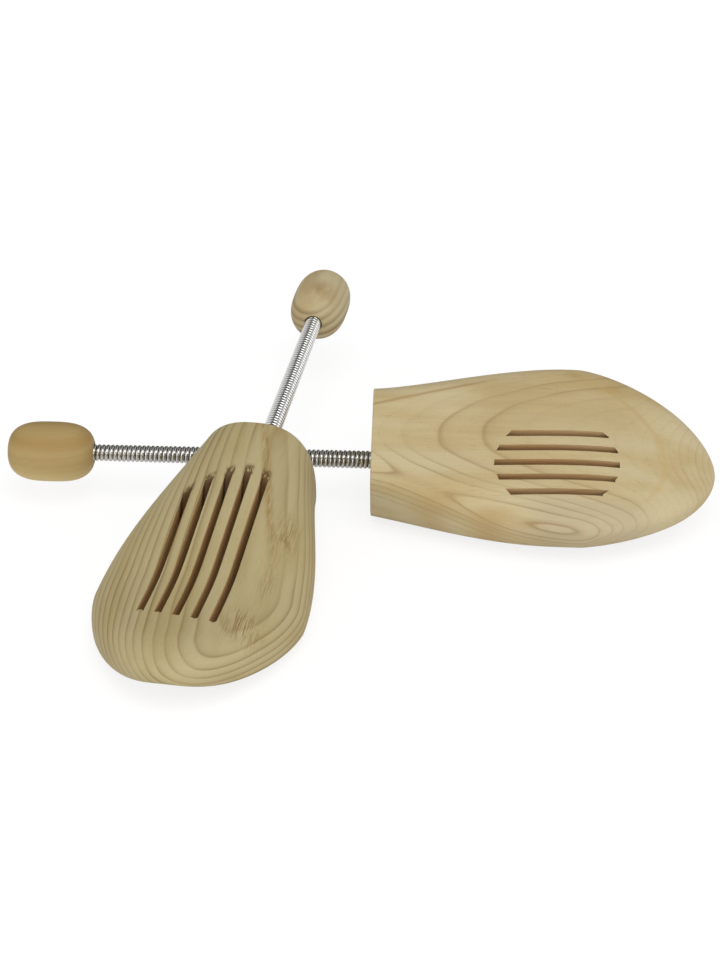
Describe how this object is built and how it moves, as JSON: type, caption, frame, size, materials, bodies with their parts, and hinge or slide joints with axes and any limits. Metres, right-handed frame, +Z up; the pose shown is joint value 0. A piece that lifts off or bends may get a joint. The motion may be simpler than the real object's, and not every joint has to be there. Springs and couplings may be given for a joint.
{
  "type": "spiral shoe tree",
  "caption": "Left and right spiral shoe trees: a slotted wooden forefoot block and a barrel-shaped heel knob joined by a bendable steel spring, lying crossed.",
  "frame": {"origin": "on the table, under the middle of the bounding box of both trees as they lie", "axes": "+Z up, +X from the right tree's heel knob towards its toe, +Y away from the left tree's toe"},
  "size_m": [0.2942, 0.2888, 0.055],
  "materials": {
    "pine": "bare sanded pine, matt",
    "left_knob_pine": "bare turned pine, matt",
    "right_knob_pine": "bare turned pine, matt",
    "spring_steel": "bright nickel plating"
  },
  "bodies": {
    "right_forefoot": {"right_forefoot": "pine"},
    "right_spring": {"right_spring": "spring_steel"},
    "right_knob": {"right_knob": "right_knob_pine"},
    "left_forefoot": {"left_forefoot": "pine"},
    "left_spring": {"left_spring": "spring_steel"},
    "left_knob": {"left_knob": "left_knob_pine"}
  },
  "joints": [
    {"name": "right_spring_bend", "type": "hinge", "parent": "right_forefoot", "child": "right_spring", "pos_m": [-0.01407, 0.0119, 0.0226], "axis": [-0.0105, 0.0004, -0.9999], "range_deg": [-5, 45], "stiffness_Nm_per_rad": 0.2, "deforming": ["right_spring"]},
    {"name": "right_knob_bend", "type": "hinge", "parent": "right_spring", "child": "right_knob", "pos_m": [-0.09135, 0.0146, 0.02341], "axis": [-0.0105, 0.0004, -0.9999], "range_deg": [-5, 45], "stiffness_Nm_per_rad": 0.2, "deforming": ["right_spring"]},
    {"name": "left_tree_lift", "type": "slide", "parent": "right_forefoot", "child": "left_forefoot", "axis": [0, 0, 1], "range_m": [0, 0.12]},
    {"name": "left_spring_bend", "type": "hinge", "parent": "left_forefoot", "child": "left_spring", "pos_m": [-0.03813, 0.01327, 0.03072], "axis": [0.9839, -0.1788, 0], "range_deg": [0, 45], "stiffness_Nm_per_rad": 0.2, "deforming": ["left_spring"]},
    {"name": "left_knob_bend", "type": "hinge", "parent": "left_spring", "child": "left_knob", "pos_m": [-0.02433, 0.08917, 0.0361], "axis": [0.9839, -0.1788, 0], "range_deg": [0, 45], "stiffness_Nm_per_rad": 0.2, "deforming": ["left_spring"]}
  ],
  "couplings": [
    {"joint": "right_knob_bend", "follows": "right_spring_bend", "ratio": 1},
    {"joint": "left_knob_bend", "follows": "left_spring_bend", "ratio": 1}
  ]
}
